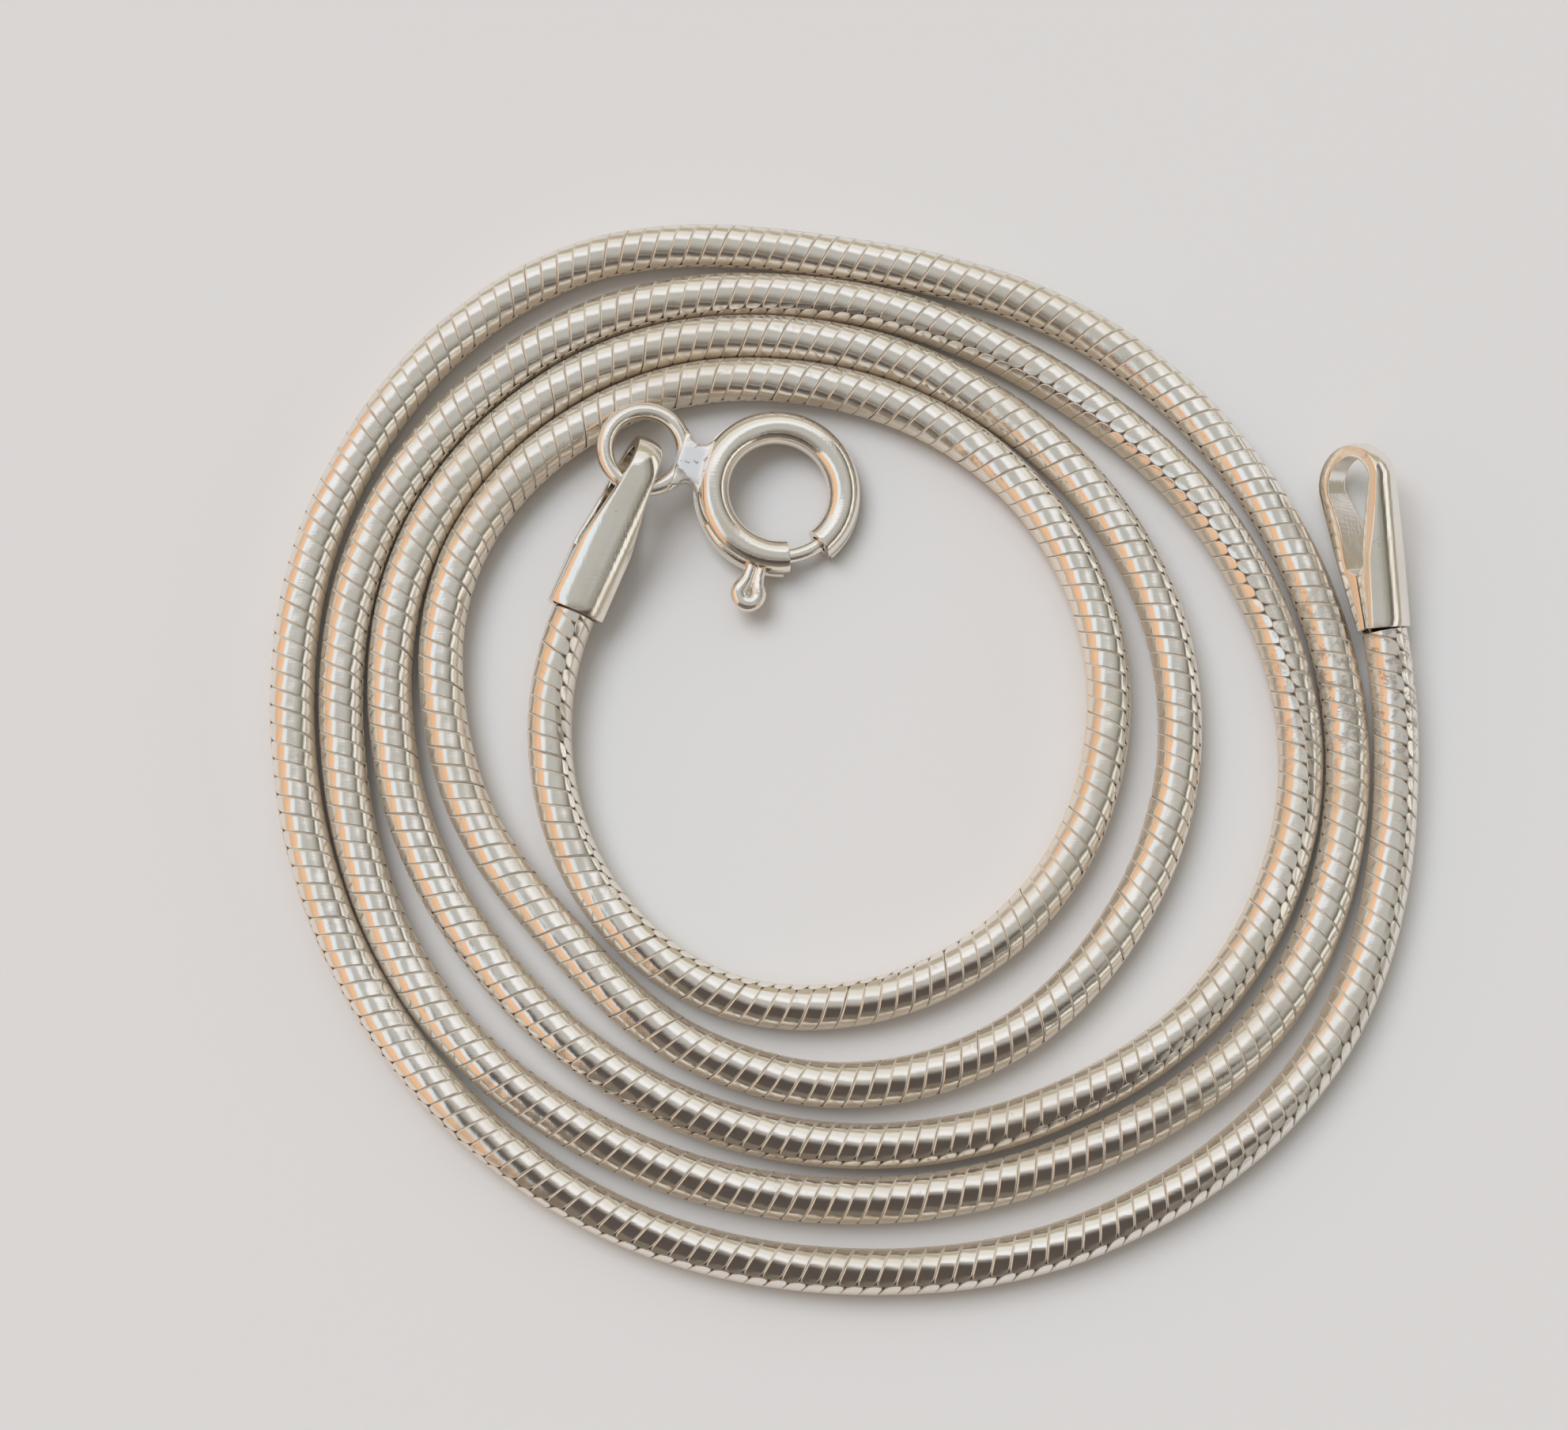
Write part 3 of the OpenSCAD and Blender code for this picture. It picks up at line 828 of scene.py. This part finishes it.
clasp_place = (Matrix.Translation(CLASP_AT) @ Matrix.Rotation(radians(CLASP_TURN), 4, "Z")
               @ Matrix.Rotation(radians(CLASP_TIP), 4, "Y"))
NECK = tuple(MM * (clasp_place @ Vector((NECK_X, 0, 0))))
ring = join(ring, lip, eye)
for piece in (ring, solder, trigger):
    put_in_place(piece, clasp_place)
print("clasp:", [len(piece.data.polygons) for piece in (ring, solder, trigger)], "faces")

# %% [markdown]
# ## Materials
# A material is a net of nodes. Written out socket by socket, its sums are hard to read, so this small
# class lets sockets be added and multiplied like numbers. Every sum adds its Math node.

# %% Sums of sockets
class Value:
    def __init__(self, net, socket):
        self.net, self.socket = net, socket

    def __add__(self, other):
        return self.net.math("ADD", self, other)

    def __radd__(self, other):
        return self.net.math("ADD", other, self)

    def __sub__(self, other):
        return self.net.math("SUBTRACT", self, other)

    def __rsub__(self, other):
        return self.net.math("SUBTRACT", other, self)

    def __mul__(self, other):
        return self.net.math("MULTIPLY", self, other)

    def __rmul__(self, other):
        return self.net.math("MULTIPLY", other, self)

    def __neg__(self):
        return self.net.math("MULTIPLY", self, -1)


print("sums of sockets are ready")

# %% [markdown]
# One method makes every other node: it takes the node's type, its settings and the values or links of
# its inputs. The methods below it name the few things that the finishes here are mixed from, such as
# a noise, a soft step from 0 to 1 and a blend of two colours.

# %% One method for every node
class Net:
    def __init__(self, tree):
        self.tree = tree
        tree.nodes.clear()

    def add(self, kind, settings=None, inputs=None, out=0):
        node = self.tree.nodes.new(kind)
        for name, value in (settings or {}).items():
            setattr(node, name, value)
        for key, value in (inputs or {}).items():
            if isinstance(value, Value):
                self.tree.links.new(value.socket, node.inputs[key])
            else:
                node.inputs[key].default_value = value
        return Value(self, node.outputs[out]) if len(node.outputs) else node

    def math(self, operation, *values):
        return self.add("ShaderNodeMath", {"operation": operation}, dict(enumerate(values)))

    def place(self):
        """The place on the piece, in metres."""
        return self.add("ShaderNodeTexCoord", out="Object")

    def part(self, vector, axis):
        """One number of a vector: 0 gives x, 1 gives y and 2 gives z."""
        return self.add("ShaderNodeSeparateXYZ", inputs={0: vector}, out=axis)

    def noise(self, scale, detail=2, rough=0.5, where=None):
        inputs = {"Vector": where or self.place(), "Scale": scale, "Detail": detail, "Roughness": rough}
        return self.add("ShaderNodeTexNoise", inputs=inputs, out="Fac")

    def stretched(self, size):
        return self.add("ShaderNodeMapping", inputs={"Vector": self.place(), "Scale": size})

    def step(self, value, low, high):
        """0 below low, 1 above high, and a soft rise between."""
        return self.add("ShaderNodeMapRange", {"interpolation_type": "SMOOTHSTEP"},
                        {"Value": value, "From Min": low, "From Max": high})

    def blend(self, first, second, share):
        """The first colour where share is 0 and the second where it is 1."""
        return self.add("ShaderNodeMix", {"data_type": "RGBA"}, {0: share, 6: first, 7: second}, out=2)

    def bump(self, height, strength, distance):
        inputs = {"Height": height, "Strength": strength, "Distance": distance}
        return self.add("ShaderNodeBump", inputs=inputs)

    def underside(self):
        """0 on surfaces that face up, 1 on those that face the floor or stand upright, where the
        finishes add tarnish and painted shade.
        """
        normal = self.add("ShaderNodeTexCoord", out="Normal")
        return 1 - self.step(self.part(normal, 2), 0.0, 0.75)

    def near(self, spot, close, far):
        """1 closer to a spot than one distance, 0 farther than the other."""
        ends = {0: self.place(), 1: spot}
        away = self.add("ShaderNodeVectorMath", {"operation": "DISTANCE"}, ends, out="Value")
        return 1 - self.step(away, close, far)

    def stored(self, name):
        return self.add("ShaderNodeAttribute", {"attribute_name": name}, out="Fac")


def finish(name, make):
    """A material whose principled shader gets its sockets from make(net)."""
    material = bpy.data.materials.new(name)
    material.use_nodes = True
    net = Net(material.node_tree)
    shader = net.add("ShaderNodeBsdfPrincipled", inputs=make(net))
    net.add("ShaderNodeOutputMaterial", inputs={"Surface": shader})
    return material


print("one method makes every node")

# %% [markdown]
# ## Silver
# Silver reflects nearly all light, a little warmer than white. On a necklace that has been worn, sulphur
# turns it yellow and then brown where nothing rubs it: in patches and in the grooves between plates,
# where a dull film covers the metal. Faces that turn down or stand upright are made yellower, duller
# and less metallic: partly tarnish, and partly painted shade that darkens the lower flanks of the
# chain. Fine scratches run in all directions, so they are a noise that is stretched one way and another
# way, and a broader noise makes each plate a little wavy.

# %% The finish of the plates
SILVER = (0.955, 0.93, 0.885, 1)
HAZE = (0.80, 0.71, 0.56, 1)
# Yellowed tarnish and painted shade, for faces that turn down or stand upright.
TARNISH_AND_SHADE_BELOW = (0.80, 0.67, 0.50, 1)
TARNISH = (0.64, 0.59, 0.51, 1)
BROWN = (0.15, 0.095, 0.06, 1)
STAIN = (0.0233, 0.003, 0.0014)
SCRATCH, PLATE_BUMP = 900, 0.00002


def scratches(net, size=1.0):
    """Height of fine scratches in two directions."""
    along = net.noise(SCRATCH * size, 3, 0.6, net.stretched((1, 14, 1)))
    across = net.noise(SCRATCH * size, 3, 0.6, net.stretched((12, 1, 1)))
    return along + across


def chain_finish(net):
    patches = net.step(net.noise(160, 3, 0.55), 0.45, 0.75)
    specks = net.step(net.noise(1500, 3, 0.65), 0.62, 0.70)
    film = net.step(net.stored("groove"), 0.08, 0.75)
    # Tarnish and painted shade on the faces that turn down or stand upright.
    low = net.underside()
    stain = net.step(net.noise(1900, 4, 0.7), 0.50, 0.60) * net.near(STAIN, 0.002, 0.008)
    colour = net.blend(SILVER, HAZE, patches * 0.3)
    colour = net.blend(colour, TARNISH_AND_SHADE_BELOW, low * 0.8)
    colour = net.blend(colour, BROWN, specks * (0.12 + film * 0.5) + stain * 0.45)
    colour = net.blend(colour, net.blend(TARNISH, BROWN, net.stored("tip") * 0.8), film)
    rough = 0.13 + patches * 0.08 + low * 0.35 + film * 0.42 + stain * 0.2 + net.noise(2600) * 0.06
    return {"Base Color": colour, "Metallic": (1 - film * 0.85) * (1 - low * 0.6), "Roughness": rough,
            "Normal": net.bump(scratches(net) + net.noise(1000, 1) * 15, 0.12, PLATE_BUMP)}


plate_silver = finish("plate_silver", chain_finish)
print("plates:", len(plate_silver.node_tree.nodes), "nodes")

# %% [markdown]
# The caps and the clasp are smoother metal than the plates, but they are touched most and carry more
# scratches. The solder froze with a grainy, whitish skin full of pits, and some of that skin lies on
# the ring and the eye beside it. So both finishes share one measure of it, and no border shows where
# the solder's piece ends. The inside of the chain is nearly black: partly tarnish on metal that has
# never been polished, and partly painted shade of the deep hollow seen through the seams.

# %% Polished silver, solder and the dark inside
WHITISH = (0.82, 0.85, 0.90, 1)
PIT = (0.42, 0.38, 0.33, 1)
DULL_BROWN = (0.30, 0.22, 0.15, 1)
NECK_FROM, NECK_TO = 0.0005, 0.0014
POLISH_BUMP, SOLDER_BUMP = 0.00003, 0.00004


def frost(net, grain):
    """1 on the neck of the clasp, thinning out over the metal round it."""
    return net.step(net.near(NECK, NECK_FROM, NECK_TO) + grain * 0.7, 0.58, 1.2)


def polished_finish(net):
    patches = net.step(net.noise(260, 3, 0.55), 0.48, 0.75)
    specks = net.step(net.noise(1100, 4, 0.7), 0.64, 0.72)
    skin = frost(net, net.noise(2400, 4, 0.7))
    colour = net.blend(SILVER, HAZE, patches * 0.35)
    # The caps and the clasp get the same yellowed tarnish and painted shade on faces that turn down.
    colour = net.blend(colour, TARNISH_AND_SHADE_BELOW, net.underside() * 0.7)
    colour = net.blend(colour, BROWN, specks * 0.25)
    rough = 0.09 + patches * 0.08 + specks * 0.15 + net.noise(3000) * 0.05 + skin * 0.16
    return {"Base Color": net.blend(colour, WHITISH, skin), "Metallic": 1 - skin * 0.45,
            "Roughness": rough,
            "Normal": net.bump(scratches(net, 0.8) + net.noise(500) * 4, 0.14, POLISH_BUMP)}


def solder_finish(net):
    grain = net.noise(2400, 4, 0.7)
    metal = net.step(net.noise(1700, 3, 0.6), 0.36, 0.43)
    skin = frost(net, grain)
    return {"Base Color": net.blend(SILVER, net.blend(PIT, WHITISH, metal), skin),
            "Metallic": 1 - skin * 0.45, "Roughness": 0.13 + skin * 0.16 + grain * 0.10,
            "Normal": net.bump(metal * skin + grain * 0.6, 0.35, SOLDER_BUMP)}


# The chain's inside: unpolished tarnish, and painted shade of the hollow seen through the seams.
def inside_finish(net):
    return {"Base Color": net.blend(BROWN, DULL_BROWN, net.noise(1200, 3)), "Metallic": 0.6,
            "Roughness": 0.4 + net.noise(2000) * 0.2}


worn_silver = finish("worn_silver", polished_finish)
solder_skin = finish("solder_skin", solder_finish)
inside_tarnish_and_shade = finish("inside_tarnish_and_shade", inside_finish)
print("finishes:", worn_silver.name, solder_skin.name, inside_tarnish_and_shade.name)

# %% [markdown]
# Every piece gets its finish, rides on a body of the CAD model and stands for the solid that it was
# dressed over.

# %% Dress the frame
def dress(obj, material, body, slot, *nodes):
    obj.data.materials.clear()
    obj.data.materials.append(material)
    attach(obj, body)
    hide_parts(*nodes)


dress(links, plate_silver, "necklace", "chain_silver", "chain")
dress(core, inside_tarnish_and_shade, "necklace", "chain_silver", "chain")
dress(cap_inner, worn_silver, "necklace", "polished_silver", "end_cap_inner")
dress(cap_outer, worn_silver, "necklace", "polished_silver", "end_cap_outer")
dress(ring, worn_silver, "necklace", "polished_silver", "spring_ring")
dress(solder, solder_skin, "necklace", "polished_silver", "spring_ring")
dress(trigger, worn_silver, "trigger", "polished_silver", "clasp_trigger")
pieces = (links, core, cap_inner, cap_outer, ring, solder, trigger)
print("dressed", sum(len(piece.data.polygons) for piece in pieces), "faces")

# %% [markdown]
# ## The floor
# The necklace lies on a plain pale floor, a hair under it, so that no two faces share a place. Two
# pale greys that are nearly the same are blended by a broad noise, which keeps it from looking like
# an empty page.

# %% Floor
FLOOR_WIDE, FLOOR_Z = 6, -0.00003
FLOOR_GREY = (0.70, 0.71, 0.73, 1)
FLOOR_LIGHT = (0.72, 0.73, 0.75, 1)


def floor_finish(net):
    return {"Base Color": net.blend(FLOOR_GREY, FLOOR_LIGHT, net.noise(8, 1)), "Roughness": 0.75}


bpy.ops.mesh.primitive_plane_add(size=FLOOR_WIDE, location=(0, 0, FLOOR_Z))
floor = bpy.context.object
floor.name = "floor"
apply_transform(floor)
floor.data.materials.append(finish("pale_floor", floor_finish))
print("floor is", round(floor.dimensions.x, 1), "m wide")

# %% [markdown]
# ## What the silver reflects
# Polished silver has hardly a colour of its own: what shows in it is the room. The room here is a
# plain studio with a grey ceiling. Its left wall is pale blue above and peach below. Its right wall is
# grey, crossed by a dark stripe and, lower down, a warm white strip. The back wall is white above and
# duller below, and the front is dark. Each band of a wall has a colour and the two angles from
# straight up, in degrees, between which it begins. Walls could be modelled and lit instead, but drawn
# in the world's shader they have soft edges and need no lamps. Rays from the camera itself see plain
# pale grey, so that views from the side have a quiet background.

# %% The room
CEILING = (0.50, 0.49, 0.46, 1)
RIGHT = [((0.33, 0.31, 0.26, 1), 26, 50), ((0.13, 0.12, 0.10, 1), 49, 54),
         ((0.95, 0.91, 0.83, 1), 62, 65), ((0.34, 0.31, 0.25, 1), 76, 80)]
LEFT = [((0.80, 0.87, 0.92, 1), 20, 26), ((0.88, 0.55, 0.34, 1), 42, 47),
        ((0.72, 0.48, 0.31, 1), 64, 76)]
BACK = [((0.92, 0.92, 0.94, 1), 14, 18), ((0.78, 0.76, 0.72, 1), 30, 45),
        ((0.48, 0.41, 0.30, 1), 62, 68)]
FRONT = [((0.19, 0.16, 0.125, 1), 10, 50)]
CORNER = 0.06
QUIET_GREY = (0.82, 0.82, 0.84, 1)


def paint(net, colour, tip, wall):
    for band, low, high in wall:
        colour = net.blend(colour, band, net.step(tip, low, high))
    return colour


def room(net):
    looking = net.add("ShaderNodeTexCoord", out="Generated")
    x, y, z = [net.part(looking, axis) for axis in range(3)]
    tip_x = net.math("ARCTAN2", x, z) * degrees(1)
    tip_y = net.math("ARCTAN2", y, z) * degrees(1)
    sides = paint(net, paint(net, CEILING, tip_x, RIGHT), -tip_x, LEFT)
    depth = paint(net, paint(net, CEILING, tip_y, BACK), -tip_y, FRONT)
    nearer_y = net.math("ABSOLUTE", y) - net.math("ABSOLUTE", x)
    return net.blend(sides, depth, net.step(nearer_y, -CORNER, CORNER))


world = bpy.data.worlds.new("studio")
bpy.context.scene.world = world
world.use_nodes = True
net = Net(world.node_tree)
seen = net.add("ShaderNodeLightPath", out="Is Camera Ray")
sky = net.add("ShaderNodeBackground", inputs={"Color": net.blend(room(net), QUIET_GREY, seen)})
net.add("ShaderNodeOutputWorld", inputs={"Surface": sky})
print("room:", len(world.node_tree.nodes), "nodes")

# %% [markdown]
# The strands at the front mirror something dark and close by, and the nearer to the front they lie,
# the more of it they show. A far wall looks the same from everywhere, so a wall can't do that. A dark
# card over the front of the coil can. Its back edge fades to pale grey, so that the dark bands begin
# softly. The camera doesn't see it, it casts no shadow, and it shows in the metal alone.

# %% The dark card
CARD_SIZE, CARD_AT = (0.06, 0.0486, 1), (0.0005, -0.0363, 0.027)
CARD_DARK = (0.11, 0.09, 0.08, 1)
CARD_LESS_DARK = (0.13, 0.11, 0.095, 1)
CARD_EDGE = (0.75, 0.73, 0.69, 1)
FADE_FROM, FADE_TO = -0.021, -0.012


def card_finish(net):
    dark = net.blend(CARD_DARK, CARD_LESS_DARK, net.noise(20, 1))
    fade = net.step(net.part(net.place(), 1), FADE_FROM, FADE_TO)
    return {"Base Color": net.blend(dark, CARD_EDGE, fade), "Roughness": 0.9}


bpy.ops.mesh.primitive_plane_add(size=1, rotation=(pi, 0, 0), location=(0, 0, 0))
card = bpy.context.object
card.name = "dark_card"
card.scale = CARD_SIZE
card.location = CARD_AT
apply_transform(card)
card.data.materials.append(finish("card_grey", card_finish))
card.visible_camera = card.visible_diffuse = card.visible_shadow = card.visible_transmission = False
print("card is", [round(d, 2) for d in card.dimensions[:2]], "m")

# %% [markdown]
# One large soft light from above, behind and to the left gives the gentle shadows. A sun lamp lights
# the whole floor evenly, and its wide angle makes it soft. It doesn't show in the metal, because the
# bright walls of the room already do. The standard view keeps colours as they are mixed.

# %% Key light
KEY_FROM = Vector((-0.25, 0.22, 0.55))
KEY_STRENGTH, KEY_ANGLE = 1.55, 38
KEY_COLOUR = (0.985, 0.99, 1.0)

bpy.ops.object.light_add(type="SUN", location=KEY_FROM)
key = bpy.context.object
key.name = "key"
key.data.energy = KEY_STRENGTH
key.data.angle = radians(KEY_ANGLE)
key.data.color = KEY_COLOUR
key.rotation_euler = (-KEY_FROM).to_track_quat("-Z", "Y").to_euler()
key.visible_glossy = False
bpy.context.scene.view_settings.view_transform = "Standard"
print("key light:", round(key.data.energy, 2), "W per square metre")
